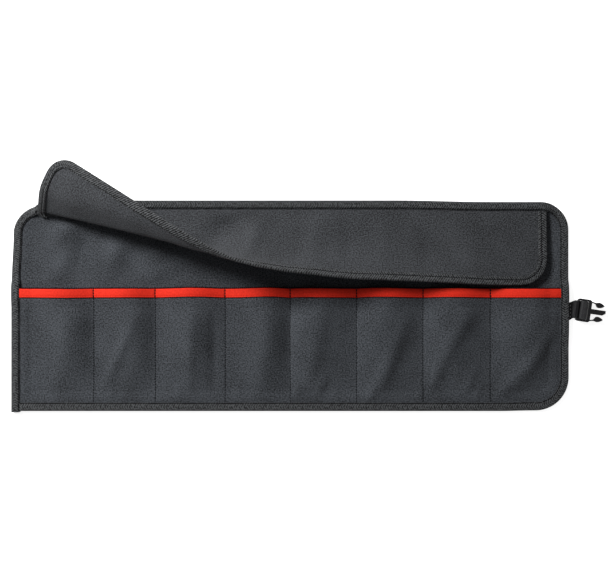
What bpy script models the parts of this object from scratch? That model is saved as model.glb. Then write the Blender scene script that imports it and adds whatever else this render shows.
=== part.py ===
"""Tool pouch: a bound cloth panel with eight pockets, a fold-over flap and a strap with a buckle half.

It lies open on its back. +X runs along its length, +Y towards the flap's hinge, +Z up.
The origin is the centre of the panel's underside, on the surface that it rests on.
"""
import math

import bmesh
import bpy
import numpy as np

# The panel and the tape that binds its edge
PANEL_LENGTH = 0.642
PANEL_DEPTH = 0.242
PANEL_THICK = 0.0015
TAPE = 0.0010
BINDING_WIDTH = 0.0100
CORNER_TOP_LEFT = 0.033
CORNER_TOP_RIGHT = 0.0325
CORNER_BOTTOM_RIGHT = 0.0385
GAP = 0.0003
EDGE_RAMP = 0.014

# The strip of pockets and the red tape along its mouth
MOUTH_CLEAR = 0.0035
STRIP_THICK = 0.0012
TRIM_TAPE = 0.0010
TRIM_WIDTH = 0.0104
TRIM_RAMP = 0.012
POCKET_SWELL = 0.0110
MOUTH_WAVE = 0.0012

# The flap, sewn into the binding along the top edge
FLAP_LENGTH = 0.586
FLAP_START = 0.030
FLAP_DEPTH = 0.0880
FLAP_THICK = 0.0012
FLAP_TAPE = 0.0010
FLAP_TAPE_WIDTH = 0.0098
FLAP_CORNER = 0.025
LIFT_LEFT = 24.0
LIFT_RIGHT = 2.0
STACK_RAMP = 0.012
FLAP_SEAM = 0.0070
FLAP_EASE = 0.0005

# The strap and the buckle on its end
STRAP_WIDTH = 0.020
STRAP_THICK = 0.0016
STRAP_DROP = 0.1283
STRAP_TAIL = 0.026
STRAP_LIFT_RAMP = 0.030
STRAP_FREE = 0.0080
BUCKLE_TURN = 8.5
BUCKLE_SHIFT = 0.0040
SLOT_PLAY = 0.0002
BUCKLE_WIDTH = 0.0260
BUCKLE_THICK = 0.0036
REAR_BAR = 0.0018
SLOT_BACK = 0.0044
CENTRE_BAR = 0.0040
SLOT_FRONT = 0.0030
SHOULDER = 0.0034
SLOT_CLEAR = 0.0005
ARM_WIDTH = 0.0017
ARM_ROOT = 0.0018
ARM_FLARE = 0.00025
ARM_LENGTH = 0.0054
ARM_TIP = 0.0096
ARM_TIP_WIDTH = 0.0064
ARM_LEAN = 0.0031
GUIDE_WIDTH = 0.0058
GUIDE_LENGTH = 0.0168
GUIDE_SLANT = 0.0036

# Each pocket: its share of the strip's length, its share of the swell, and its mouth's rise or dip
POCKETS = (
    {"width": 0.1367, "swell": 0.90, "wave": -0.2},
    {"width": 0.1140, "swell": 0.95, "wave": 0.2},
    {"width": 0.1293, "swell": 1.00, "wave": 0.9},
    {"width": 0.1205, "swell": 1.00, "wave": 1.0},
    {"width": 0.1227, "swell": 0.95, "wave": 0.5},
    {"width": 0.1229, "swell": 1.00, "wave": 0.8},
    {"width": 0.1245, "swell": 0.95, "wave": 0.6},
    {"width": 0.1294, "swell": 0.90, "wave": 0.1},
)

# Each bend of the turned-up flap runs out from its left end as a fan.
# start and width are shares of the flap's depth at that end, slope and widening are lengths per length
# along the hinge, and turn is in degrees.
BENDS = (
    {"start": 0.000, "slope": 0.043, "width": 0.052, "widening": 0.342, "turn": 64.5},
    {"start": 0.031, "slope": 0.315, "width": 0.060, "widening": 0.074, "turn": 45.0},
    {"start": 0.297, "slope": 0.260, "width": 0.394, "widening": 0.006, "turn": 47.0},
)
BEND_FADE_START = 0.78
BEND_FADE_END = 0.98
BEND_STEPS = 90

# What follows from the sizes above
LEFT = -PANEL_LENGTH / 2
RIGHT = PANEL_LENGTH / 2
TOP = PANEL_DEPTH / 2
BOTTOM = -PANEL_DEPTH / 2
EDGE_IN = TAPE + GAP
STRIP_LEFT = LEFT + BINDING_WIDTH
STRIP_RIGHT = RIGHT - BINDING_WIDTH
STRIP_BOTTOM = BOTTOM + BINDING_WIDTH
HINGE_Y = TOP - BINDING_WIDTH
MOUTH_Y = HINGE_Y - FLAP_DEPTH - MOUTH_CLEAR
FLAP_X = LEFT + FLAP_START
FLAP_ROOT_Z = TAPE + PANEL_THICK + FLAP_TAPE + 2 * GAP + FLAP_EASE + FLAP_THICK / 2
STRAP_Y = TOP - STRAP_DROP

ARC_STEPS = 8


def smooth(x):
    """0 below 0, 1 above 1 and an even S between them."""
    x = np.clip(x, 0.0, 1.0)
    return x * x * (3.0 - 2.0 * x)


def make_material(name, colour, roughness):
    material = bpy.data.materials.new(name)
    material.use_nodes = True
    shader = material.node_tree.nodes["Principled BSDF"]
    shader.inputs["Base Color"].default_value = (*colour, 1.0)
    shader.inputs["Roughness"].default_value = roughness
    shader.inputs["Metallic"].default_value = 0.0
    material.diffuse_color = (*colour, 1.0)
    return material


def make_object(name, bm, material):
    """Turn a bmesh into an object with its faces pointing out, and folded quads split along their fold."""
    bmesh.ops.remove_doubles(bm, verts=bm.verts, dist=1e-6)
    bmesh.ops.triangulate(bm, faces=bm.faces, quad_method="LONG_EDGE")
    bmesh.ops.recalc_face_normals(bm, faces=bm.faces)
    mesh = bpy.data.meshes.new(name)
    bm.to_mesh(mesh)
    bm.free()
    mesh.materials.append(material)
    mesh.shade_smooth()
    mesh.set_sharp_from_angle(angle=math.radians(35))
    piece = bpy.data.objects.new(name, mesh)
    bpy.context.collection.objects.link(piece)
    return piece


def grid_solid(name, upper, lower, material):
    """Close two matching grids of points, one over the other, into one thin solid."""
    bm = bmesh.new()
    columns, rows = upper.shape[:2]
    over = [[bm.verts.new(upper[i, j]) for j in range(rows)] for i in range(columns)]
    under = [[bm.verts.new(lower[i, j]) for j in range(rows)] for i in range(columns)]
    for i in range(columns - 1):
        for j in range(rows - 1):
            for side in (over, under):
                bm.faces.new((side[i][j], side[i + 1][j], side[i + 1][j + 1]))
                bm.faces.new((side[i][j], side[i + 1][j + 1], side[i][j + 1]))
    for i in range(columns - 1):
        for j in (0, rows - 1):
            bm.faces.new((over[i][j], over[i + 1][j], under[i + 1][j], under[i][j]))
    for j in range(rows - 1):
        for i in (0, columns - 1):
            bm.faces.new((over[i][j], over[i][j + 1], under[i][j + 1], under[i][j]))
    return make_object(name, bm, material)


def sweep_solid(name, sections, material, splits=None):
    """Join a row of equal closed sections into one solid with flat ends.

    The splits, where given, say for each section and side which way its quad folds.
    """
    bm = bmesh.new()
    rings = [[bm.verts.new(point) for point in section] for section in sections]
    count = len(rings[0])
    for row, (ring, after) in enumerate(zip(rings, rings[1:])):
        for k in range(count):
            m = (k + 1) % count
            if splits is None:
                bm.faces.new((ring[k], ring[m], after[m], after[k]))
            elif splits[row][k]:
                bm.faces.new((ring[k], ring[m], after[m]))
                bm.faces.new((ring[k], after[m], after[k]))
            else:
                bm.faces.new((ring[k], ring[m], after[k]))
                bm.faces.new((ring[m], after[m], after[k]))
    caps = [bm.faces.new(ring) for ring in (rings[0], rings[-1])]
    bm.normal_update()
    bmesh.ops.triangulate(bm, faces=caps)
    return make_object(name, bm, material)


def corner_radius(x, y):
    """The corner radius that holds in the quarter of the panel where the point lies."""
    right = np.where(y > 0, CORNER_TOP_RIGHT, CORNER_BOTTOM_RIGHT)
    left = np.where(y > 0, CORNER_TOP_LEFT, 0.0)
    return np.where(x > 0, right, left)


def edge_distance(x, y):
    """How far a point lies inside the panel's outer edge."""
    radius = corner_radius(x, y)
    dx = np.abs(x) - (PANEL_LENGTH / 2 - radius)
    dy = np.abs(y) - (PANEL_DEPTH / 2 - radius)
    outside = np.hypot(np.maximum(dx, 0), np.maximum(dy, 0))
    inside = np.minimum(np.maximum(dx, dy), 0)
    return radius - outside - inside


def edge_share(x, y):
    """1 in the binding, 0 where the panel lies flat and an even slope between."""
    return 1 - smooth((edge_distance(x, y) - BINDING_WIDTH) / EDGE_RAMP)


def strap_share(x, y):
    """1 over the strap's sewn tail, 0 well clear of it and an even slope between."""
    along = smooth((x - (RIGHT - STRAP_TAIL - STRAP_LIFT_RAMP)) / (STRAP_LIFT_RAMP - 2 * GAP))
    reach = np.abs(y - STRAP_Y) - STRAP_WIDTH / 2 - 4 * GAP
    return along * (1 - smooth(reach / STRAP_LIFT_RAMP))


def panel_under(x, y):
    """Underside of the panel: flat, lifted at its bound edge and over the strap's sewn tail."""
    return EDGE_IN * edge_share(x, y) + (STRAP_THICK + GAP) * strap_share(x, y)


def panel_top(x, y):
    return panel_under(x, y) + PANEL_THICK


def pocket_edges():
    """X of the sewn lines between the pockets, with the strip's two ends."""
    total = sum(pocket["width"] for pocket in POCKETS)
    edges = [STRIP_LEFT]
    for pocket in POCKETS:
        edges.append(edges[-1] + (STRIP_RIGHT - STRIP_LEFT) * pocket["width"] / total)
    return np.array(edges)


def pocket_shape(x, key):
    """A pocket's value from the table, strongest at its middle and nothing at its sewn lines."""
    edges = pocket_edges()
    index = np.clip(np.searchsorted(edges, x, side="right") - 1, 0, len(POCKETS) - 1)
    share = np.clip((x - edges[index]) / (edges[index + 1] - edges[index]), 0, 1)
    values = np.array([pocket[key] for pocket in POCKETS])[index]
    return values * np.sin(math.pi * share) ** 1.4


def mouth_line(x):
    """Y of the pockets' upper edge, with its gentle wave."""
    return MOUTH_Y + MOUTH_WAVE * pocket_shape(x, "wave")


def strip_under(x, y):
    """Underside of the pocket strip: clear of the panel at the sewn lines and swollen between them."""
    depth = np.clip((MOUTH_Y - y) / (MOUTH_Y - STRIP_BOTTOM), 0, 1)
    swell = POCKET_SWELL * pocket_shape(x, "swell") * (1 - depth ** 2)
    room = smooth((y - (MOUTH_Y - TRIM_WIDTH - GAP - TRIM_RAMP)) / TRIM_RAMP)
    edge = edge_share(x, y)
    strap = strap_share(x, y)
    loose = 6 * GAP * (edge * (1 - edge) + strap * (1 - strap))
    return panel_top(x, y) + GAP + loose + swell + room * (TRIM_TAPE + GAP)


def strip_top(x, y):
    return strip_under(x, y) + STRIP_THICK


def arc_offsets(radius, inset):
    """Distances in from the end of the panel at which a column crosses a corner's arc evenly."""
    if radius <= inset:
        return [inset]
    angles = np.linspace(0, math.pi / 2, ARC_STEPS + 1)
    return list(radius - (radius - inset) * np.cos(angles))


def outline_y(x, inset, side):
    """Y of the panel's upper (side 1) or lower (side -1) edge at X, moved in by the inset."""
    radius = corner_radius(x, np.full_like(x, side * PANEL_DEPTH / 4))
    reach = np.maximum(np.abs(x) - (PANEL_LENGTH / 2 - radius), 0)
    drop = (radius - inset) - np.sqrt(np.maximum((radius - inset) ** 2 - reach ** 2, 0))
    return side * (PANEL_DEPTH / 2 - inset - np.where(radius > inset, drop, 0))


def edge_columns(inset):
    """X of the columns near both ends, where the corners are round and the edge lifts."""
    steps = [BINDING_WIDTH, BINDING_WIDTH + EDGE_RAMP / 3, BINDING_WIDTH + 2 * EDGE_RAMP / 3]
    steps.append(BINDING_WIDTH + EDGE_RAMP)
    left = [LEFT + d for d in arc_offsets(CORNER_TOP_LEFT, inset) + steps]
    right = [RIGHT - d for d in arc_offsets(CORNER_TOP_RIGHT, inset) + steps]
    right += [RIGHT - d for d in arc_offsets(CORNER_BOTTOM_RIGHT, inset)]
    right += [RIGHT - STRAP_TAIL - STRAP_LIFT_RAMP * share for share in (0.0, 0.33, 0.67, 1.0)]
    return left, right


def thin_out(values, least):
    """Sorted values with neighbours closer than the least distance dropped."""
    kept = []
    for value in sorted(values):
        if not kept or value - kept[-1] >= least:
            kept.append(value)
    return np.array(kept)


def strap_rows():
    """Y of the rows that follow the lift over the strap's tail."""
    reach = [STRAP_WIDTH / 2 + 4 * GAP + STRAP_LIFT_RAMP * share for share in (0, 0.5, 1)]
    return [STRAP_Y - d for d in reversed(reach)] + [STRAP_Y + d for d in reach]


def mouth_rows():
    """Distances below the mouth tape's fold at which the strip's rows lie."""
    return [TRIM_TAPE + GAP, TRIM_WIDTH, TRIM_WIDTH + TRIM_RAMP / 2, TRIM_WIDTH + GAP + TRIM_RAMP]


def make_back_panel(material):
    left, right = edge_columns(EDGE_IN)
    between = np.linspace(max(left), min(right), 5)[1:-1]
    x = thin_out(left + right + list(between), 0.0012)
    top = outline_y(x, EDGE_IN, 1)
    bottom = outline_y(x, EDGE_IN, -1)
    ramp = [BINDING_WIDTH + EDGE_RAMP * share for share in (0, 0.33, 0.67, 1.0)]
    rows = [BOTTOM + EDGE_IN] + [BOTTOM + d for d in ramp] + strap_rows()
    rows += [TOP - d for d in ramp] + [TOP - EDGE_IN]
    rows = thin_out(rows, 0.004)
    core = PANEL_DEPTH / 2 - 1.3 * max(CORNER_TOP_LEFT, CORNER_TOP_RIGHT, CORNER_BOTTOM_RIGHT)
    over = np.maximum(rows[None, :] - core, 0) * ((top - core) / (rows[-1] - core))[:, None]
    below = np.minimum(rows[None, :] + core, 0) * ((bottom + core) / (rows[0] + core))[:, None]
    y = np.clip(rows, -core, core)[None, :] + over + below
    xx = np.repeat(x[:, None], len(rows), axis=1)
    under = panel_under(xx, y)
    upper = np.stack([xx, y, under + PANEL_THICK], axis=-1)
    lower = np.stack([xx, y, under], axis=-1)
    return grid_solid("back_panel", upper, lower, material)


def strip_columns():
    """X of the pocket strip's columns: close at the sewn lines, open over the swell."""
    edges = pocket_edges()
    shares = np.array([0.0, 0.05, 0.2, 0.4, 0.6, 0.8, 0.95])
    columns = [left + (right - left) * share for left, right in zip(edges, edges[1:]) for share in shares]
    ramp = [BINDING_WIDTH + EDGE_RAMP * share for share in (0.33, 0.67, 1.0)]
    columns += [LEFT + d for d in ramp] + [RIGHT - d for d in ramp]
    columns += [RIGHT - d for d in arc_offsets(CORNER_BOTTOM_RIGHT, EDGE_IN)]
    return thin_out(columns + [LEFT + EDGE_IN], 0.0012)


def make_pocket_panel(material):
    x = strip_columns()
    bottom = outline_y(x, EDGE_IN, -1)[:, None]
    mouth = mouth_line(x)[:, None] - np.array(mouth_rows())
    middle = np.array([row for row in reversed(strap_rows()) if row < STRAP_Y])
    middle = np.repeat(middle[None, :], len(x), axis=0)
    seam = bottom + BINDING_WIDTH - EDGE_IN
    ends = seam + EDGE_RAMP * np.array([1.0, 0.5, 0.0])
    level = (middle[:, -1:] + ends[:, :1]) / 2
    y = np.concatenate([mouth, middle, level, ends, bottom], axis=1)
    xx = np.repeat(x[:, None], y.shape[1], axis=1)
    under = strip_under(xx, y)
    upper = np.stack([xx, y, under + STRIP_THICK], axis=-1)
    lower = np.stack([xx, y, under], axis=-1)
    return grid_solid("pocket_panel", upper, lower, material)


def folded_tape(width, tape, inside, joints=()):
    """Section of a tape folded over an edge: distance in from the fold, and height from the middle.

    The joints are distances in from the fold at which its two legs can bend.
    """
    low = inside / 2
    high = low + tape
    soft = tape * 0.45
    outward = sorted(joints, reverse=True)
    inward = sorted(joints)
    upper = [(width, high)] + [(a, high) for a in outward] + [(soft, high), (0.0, high - soft)]
    under = [(0.0, soft - high), (soft, -high)] + [(a, -high) for a in inward] + [(width, -high)]
    inner = [(width, -low)] + [(a, -low) for a in outward] + [(tape, -low), (tape, low)]
    return upper + under + inner + [(a, low) for a in inward] + [(width, low)]


def make_pocket_trim(material):
    """Red tape folded over the mouth of the pockets."""
    ends = [STRIP_LEFT + GAP, STRIP_RIGHT - GAP]
    inner = [x for x in strip_columns() if ends[0] + 0.001 < x < ends[1] - 0.001]
    section = folded_tape(TRIM_WIDTH, TRIM_TAPE, STRIP_THICK + 2 * GAP)
    sections = []
    for x in [ends[0]] + inner + [ends[1]]:
        points = []
        for reach, height in section:
            y = float(mouth_line(np.array(x))) - reach
            middle = float(strip_under(np.array(x), np.array(y))) + STRIP_THICK / 2
            points.append((x, y, middle + height))
        sections.append(points)
    return sweep_solid("pocket_trim", sections, material)


def outline_path():
    """Points round the panel with the inward direction, from the square corner up the left side and round."""
    path = []

    def run(start, end, inward, count, extra=()):
        length = math.dist(start, end)
        heading = ((end[0] - start[0]) / length, (end[1] - start[1]) / length)
        shares = [(x - start[0]) * heading[0] + (y - start[1]) * heading[1] for x, y in extra]
        shares = [share for share in shares if 0.001 < share < length - 0.001]
        spread = [s for s in np.linspace(0, length, count)[1:-1] if all(abs(s - t) > 0.006 for t in shares)]
        for share in [0.0] + sorted(thin_out(shares + spread, 0.001)) + [length]:
            path.append((start[0] + heading[0] * share, start[1] + heading[1] * share, *inward))

    def turn(cx, cy, radius, first):
        for angle in np.radians(np.linspace(first, first - 90, ARC_STEPS + 1))[1:-1]:
            cos, sin = math.cos(angle), math.sin(angle)
            path.append((cx + radius * cos, cy + radius * sin, -cos, -sin))

    tl, tr, br = CORNER_TOP_LEFT, CORNER_TOP_RIGHT, CORNER_BOTTOM_RIGHT
    rises = [MOUTH_Y + MOUTH_WAVE + STACK_RAMP * share for share in (0, 0.33, 0.67, 1)]
    rows = rises + [MOUTH_Y - reach for reach in mouth_rows()]
    ends = [(FLAP_X - GAP - STACK_RAMP * share, TOP) for share in (0, 0.33, 0.67, 1)]
    ends += [(FLAP_X + FLAP_LENGTH + GAP + STACK_RAMP * share, TOP) for share in (0, 0.33, 0.67, 1)]
    run((LEFT, BOTTOM), (LEFT, TOP - tl), (1, 0), 9, [(LEFT, y) for y in rows])
    turn(LEFT + tl, TOP - tl, tl, 180)
    run((LEFT + tl, TOP), (RIGHT - tr, TOP), (0, -1), 20, ends)
    turn(RIGHT - tr, TOP - tr, tr, 90)
    run((RIGHT, TOP - tr), (RIGHT, BOTTOM + br), (-1, 0), 9, [(RIGHT, y) for y in rows + strap_rows()])
    turn(RIGHT - br, BOTTOM + br, br, 0)
    run((RIGHT - br, BOTTOM), (LEFT + BINDING_WIDTH + GAP, BOTTOM), (0, 1), 14)
    return path


def stack_over_panel(x, y):
    """Height of what the binding holds on top of the panel: the pocket strip below, the flap above."""
    past_mouth = smooth((y - (MOUTH_Y + MOUTH_WAVE)) / STACK_RAMP)
    low = np.minimum(y, MOUTH_Y)
    strip = (strip_top(x, low) - panel_top(x, low)) * (1 - past_mouth)
    off_flap = np.maximum(FLAP_X - GAP - x, x - (FLAP_X + FLAP_LENGTH + GAP))
    on_flap = (1 - smooth(off_flap / STACK_RAMP)) * smooth((y - HINGE_Y + STACK_RAMP) / STACK_RAMP)
    root = FLAP_ROOT_Z + FLAP_THICK / 2 + FLAP_EASE - GAP - (TAPE + GAP + PANEL_THICK)
    return np.maximum(strip, root * on_flap)


def make_edge_binding(material):
    """Tape folded over the panel's edge, with its opening as high as the cloth that it holds."""
    soft = TAPE * 0.6
    sections = []
    for x, y, nx, ny in outline_path():
        points = []
        for reach, leg, shift in (
            (BINDING_WIDTH, "over", TAPE), (soft, "over", TAPE), (0.0, "over", TAPE - soft),
            (0.0, "under", soft - TAPE), (soft, "under", -TAPE), (BINDING_WIDTH, "under", -TAPE),
            (BINDING_WIDTH, "under", 0.0), (TAPE, "under", 0.0),
            (TAPE, "over", 0.0), (BINDING_WIDTH, "over", 0.0),
        ):
            px = np.array(x + nx * reach)
            py = np.array(y + ny * reach)
            if leg == "under":
                z = float(panel_under(px, py)) - GAP + shift
            else:
                z = float(panel_top(px, py) + stack_over_panel(px, py)) + GAP + shift
            points.append((float(px), float(py), z))
        sections.append(points)
    return sweep_solid("edge_binding", sections, material)


def turn_about(vectors, axis, angle):
    """Turn an array of vectors about an array of unit axes."""
    cos = np.cos(angle)[:, None]
    sin = np.sin(angle)[:, None]
    along = (axis * vectors).sum(axis=1, keepdims=True)
    return vectors * cos + np.cross(axis, vectors) * sin + axis * along * (1 - cos)


def flap_surface(u, v):
    """Middle of the flap's cloth and its outward direction, at u along the hinge and v away from it.

    Each point is reached from the hinge by short steps, and each step turns about the bends it crosses.
    """
    u = np.asarray(u, dtype=float).ravel()
    v = np.asarray(v, dtype=float).ravel()
    lift = np.radians(LIFT_LEFT + (LIFT_RIGHT - LIFT_LEFT) * np.clip(u / FLAP_LENGTH, 0, 1))
    zero = np.zeros_like(u)
    point = np.stack([FLAP_X + u, HINGE_Y + zero, FLAP_ROOT_Z + zero], axis=1)
    along = np.stack([zero + 1, zero, zero], axis=1)
    out = np.stack([zero, -np.cos(lift), np.sin(lift)], axis=1)
    normal = np.stack([zero, np.sin(lift), np.cos(lift)], axis=1)
    fade = 1 - smooth((u / FLAP_LENGTH - BEND_FADE_START) / (BEND_FADE_END - BEND_FADE_START))
    step = np.maximum(v, 0) / BEND_STEPS
    for k in range(BEND_STEPS):
        spin = np.zeros_like(point)
        for bend in BENDS:
            width = np.maximum(bend["width"] * FLAP_DEPTH + bend["widening"] * u, 0.001)
            first = bend["start"] * FLAP_DEPTH + bend["slope"] * u
            before = np.clip((k * step - first) / width, 0, 1)
            after = np.clip(((k + 1) * step - first) / width, 0, 1)
            turn = math.radians(bend["turn"]) * fade * (smooth(after) - smooth(before))
            slope = bend["slope"] + bend["widening"] * (before + after) / 2
            spin -= (turn / np.hypot(1, slope))[:, None] * (along + slope[:, None] * out)
        angle = np.linalg.norm(spin, axis=1)
        axis = spin / np.maximum(angle, 1e-9)[:, None]
        turned = turn_about(out, axis, angle)
        point = point + (out + turned) / 2 * step[:, None]
        along = turn_about(along, axis, angle)
        normal = turn_about(normal, axis, angle)
        out = turned
    behind = v < 0
    point[behind, 1] -= v[behind]
    normal[behind] = (0, 0, 1)
    return point, normal


def flap_columns():
    """Distances along the hinge: round at both corners, closer over the turned-up part."""
    inset = FLAP_TAPE + GAP
    angles = np.linspace(0, math.pi / 2, 7)
    corner = list(FLAP_CORNER - (FLAP_CORNER - inset) * np.cos(angles))
    corner = [u for u in corner if abs(u - FLAP_TAPE_WIDTH) > 0.002 and abs(u - FLAP_TAPE_WIDTH / 2) > 0.001]
    corner = sorted(corner + [FLAP_TAPE_WIDTH / 2, FLAP_TAPE_WIDTH])
    middle = list(np.linspace(FLAP_CORNER, FLAP_LENGTH - FLAP_CORNER, 38)[1:-1])
    return np.array(corner + middle + [FLAP_LENGTH - u for u in reversed(corner)])


def flap_rows(u, reach):
    """Distances from the hinge to the reach: close over the tight bends, in line with the tape at the end."""
    tight = BENDS[1]
    spread = tight["slope"] + tight["widening"]
    fold = FLAP_DEPTH * (tight["start"] + tight["width"]) + spread * max(u, FLAP_TAPE_WIDTH)
    inner = reach - FLAP_TAPE_WIDTH + FLAP_TAPE + GAP
    fold = min(fold, 0.62 * inner)
    fan = list(np.linspace(0, fold, 10))
    edge = [reach - FLAP_TAPE_WIDTH / 2 + FLAP_TAPE + GAP, reach]
    return np.array(fan + list(np.linspace(fold, inner, 8)[1:]) + edge)


def make_flap(material):
    inset = FLAP_TAPE + GAP
    u = flap_columns()
    to_corner = np.maximum(np.maximum(FLAP_CORNER - u, u - (FLAP_LENGTH - FLAP_CORNER)), 0)
    radius = FLAP_CORNER - inset
    reach = FLAP_DEPTH - FLAP_CORNER + np.sqrt(np.maximum(radius ** 2 - to_corner ** 2, 0))
    v = np.array([[-FLAP_SEAM, *flap_rows(a, b)] for a, b in zip(u, reach)])
    uu = np.repeat(u[:, None], v.shape[1], axis=1)
    point, normal = flap_surface(uu, v)
    upper = (point + normal * FLAP_THICK / 2).reshape(*v.shape, 3)
    lower = (point - normal * FLAP_THICK / 2).reshape(*v.shape, 3)
    return grid_solid("flap", upper, lower, material)


def flap_path():
    """Points round the flap's three free edges with the inward direction, in the flat cloth."""
    side = FLAP_DEPTH - FLAP_CORNER
    ends = np.array([FLAP_X, FLAP_X + FLAP_LENGTH])
    rise = (FLAP_THICK / 2 + FLAP_EASE + FLAP_TAPE) * np.sin(np.radians([LIFT_LEFT, LIFT_RIGHT]))
    start, end = HINGE_Y - outline_y(ends, BINDING_WIDTH, 1) + 2 * GAP + rise
    path = [(0.0, v, 1.0, 0.0) for v in flap_rows(0.0, side) if v > start + 0.0005]
    path.insert(0, (0.0, start, 1.0, 0.0))
    for angle in np.linspace(0, math.pi / 2, 7)[1:-1]:
        sin, cos = math.sin(angle), math.cos(angle)
        path.append((FLAP_CORNER * (1 - cos), side + FLAP_CORNER * sin, cos, -sin))
    for u in flap_columns():
        if FLAP_CORNER - 1e-6 <= u <= FLAP_LENGTH - FLAP_CORNER + 1e-6:
            path.append((u, FLAP_DEPTH, 0.0, -1.0))
    for angle in np.linspace(math.pi / 2, 0, 7)[1:-1]:
        sin, cos = math.sin(angle), math.cos(angle)
        path.append((FLAP_LENGTH - FLAP_CORNER * (1 - cos), side + FLAP_CORNER * sin, -cos, -sin))
    path += [(FLAP_LENGTH, v, -1.0, 0.0) for v in np.linspace(side, end, 5)]
    return path


def make_flap_binding(material):
    section = folded_tape(FLAP_TAPE_WIDTH, FLAP_TAPE, FLAP_THICK + 2 * FLAP_EASE, [FLAP_TAPE_WIDTH / 2])
    reach = np.array([a for a, _ in section])
    height = np.array([b for _, b in section])
    nearer = np.roll(reach, -1) < reach
    sections = []
    splits = []
    for u, v, nu, nv in flap_path():
        point, normal = flap_surface(u + nu * reach, v + nv * reach)
        sections.append(point + normal * height[:, None])
        splits.append(~nearer if nu > 0.7 else nearer)
    return sweep_solid("flap_binding", sections, material, splits)


def buckle_start():
    return RIGHT + STRAP_FREE


def swing(x, y, z):
    """Place a point of the strap or buckle: from the panel's edge on, the end swings round and aside."""
    share = float(smooth((x - RIGHT) / STRAP_FREE))
    angle = -math.radians(BUCKLE_TURN) * share
    pivot = RIGHT
    dx = x - pivot
    dy = y - STRAP_Y
    new_x = pivot + dx * math.cos(angle) - dy * math.sin(angle)
    new_y = STRAP_Y + dx * math.sin(angle) + dy * math.cos(angle) + BUCKLE_SHIFT * share
    return new_x, new_y, z


def strap_route():
    """Middle line of the webbing in X and Z: under the panel and rear bar, round the centre bar and back."""
    half = STRAP_THICK / 2
    start = buckle_start()
    step = STRAP_THICK + GAP
    bar_under = 2 * step + GAP
    bar_over = bar_under + BUCKLE_THICK
    slot_back = start + REAR_BAR + SLOT_BACK
    front = slot_back + CENTRE_BAR
    up = slot_back - GAP - half
    down = front + GAP + half
    low = bar_under - GAP - half
    high = bar_over + GAP + half
    bend = STRAP_THICK * 0.7
    return [
        (RIGHT - STRAP_TAIL, half),
        (RIGHT + GAP, half),
        (start - bend, low),
        (up - bend, low),
        (up - 0.3 * bend, low + 0.3 * bend),
        (up, low + bend),
        (up, high - bend),
        (up + 0.3 * bend, high - 0.3 * bend),
        (up + bend, high),
        (down - bend, high),
        (down - 0.3 * bend, high - 0.3 * bend),
        (down, high - bend),
        (down, half + bend),
        (down - 0.3 * bend, half + 0.3 * bend),
        (down - bend, half),
        (start, half),
    ]


def make_strap(material):
    route = np.array(strap_route())
    ahead = np.diff(route, axis=0)
    ahead /= np.linalg.norm(ahead, axis=1)[:, None]
    sections = []
    for k, (x, z) in enumerate(route):
        before = ahead[max(k - 1, 0)]
        after = ahead[min(k, len(ahead) - 1)]
        mean = before + after
        mean /= np.linalg.norm(mean)
        side = np.array([-mean[1], mean[0]]) * STRAP_THICK / 2 / float(mean @ after)
        ring = []
        for sign, y in ((1, -1), (1, 1), (-1, 1), (-1, -1)):
            px, pz = np.array([x, z]) + sign * side
            ring.append(swing(px, STRAP_Y + y * STRAP_WIDTH / 2, pz))
        sections.append(ring)
    return sweep_solid("strap", sections, material)


def prism(name, outline, low, high, material):
    """Extrude an outline upwards, in the buckle's own place."""
    bm = bmesh.new()
    base = [bm.verts.new((x, y, low)) for x, y in outline]
    face = bm.faces.new(base)
    made = bmesh.ops.extrude_face_region(bm, geom=[face])
    lifted = [item for item in made["geom"] if isinstance(item, bmesh.types.BMVert)]
    bmesh.ops.translate(bm, verts=lifted, vec=(0, 0, high - low))
    return make_object(name, bm, material)


def buckle_length():
    """Length of the buckle's body, from its rear bar to the shoulder."""
    return REAR_BAR + SLOT_BACK + CENTRE_BAR + SLOT_FRONT + SHOULDER


def buckle_outline():
    """The body's outline with its shoulder and the middle guide, whose end is slanted on one side."""
    half = BUCKLE_WIDTH / 2
    length = buckle_length()
    guide = GUIDE_WIDTH / 2
    end = length + GUIDE_LENGTH
    body = [
        (0.0, half - 0.0030), (0.0008, half - 0.0008), (0.0028, half), (length - 0.0022, half),
        (length, half - 0.0016), (length, guide),
    ]
    tip = [(end - 0.0006, guide), (end, guide * 0.75), (end, -guide * 0.15), (end - GUIDE_SLANT, -guide)]
    return body + tip + [(x, -y) for x, y in reversed(body)]


def arm_outline(side):
    """One springy arm: widest at the shoulder, then a thin stem that leans in to a leaf-shaped tip."""
    length = buckle_length()
    outer = BUCKLE_WIDTH / 2 - 0.0018
    inner = outer - ARM_WIDTH
    tip = length + ARM_LENGTH
    leaf = outer - ARM_LEAN
    half = ARM_TIP_WIDTH / 2
    shape = [
        (0.12, 0.86), (0.32, 1.0), (0.55, 0.84), (0.80, 0.45), (0.96, 0.12), (1.0, -0.06),
        (0.95, -0.24), (0.78, -0.58), (0.56, -0.88), (0.34, -1.0), (0.14, -0.82), (0.02, -0.40),
    ]
    points = [(length - 0.0010, outer), (length, outer), (length + ARM_ROOT, outer - ARM_FLARE)]
    points.append((tip - 0.0008, leaf + half * 0.72))
    points += [(tip + ARM_TIP * along, leaf + half * across) for along, across in shape]
    points += [
        (tip - 0.0008, leaf + half * 0.72 - ARM_WIDTH), (length + ARM_ROOT, inner + ARM_FLARE),
        (length, inner), (length - 0.0010, inner),
    ]
    return [(x, side * y) for x, y in points]


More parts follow.
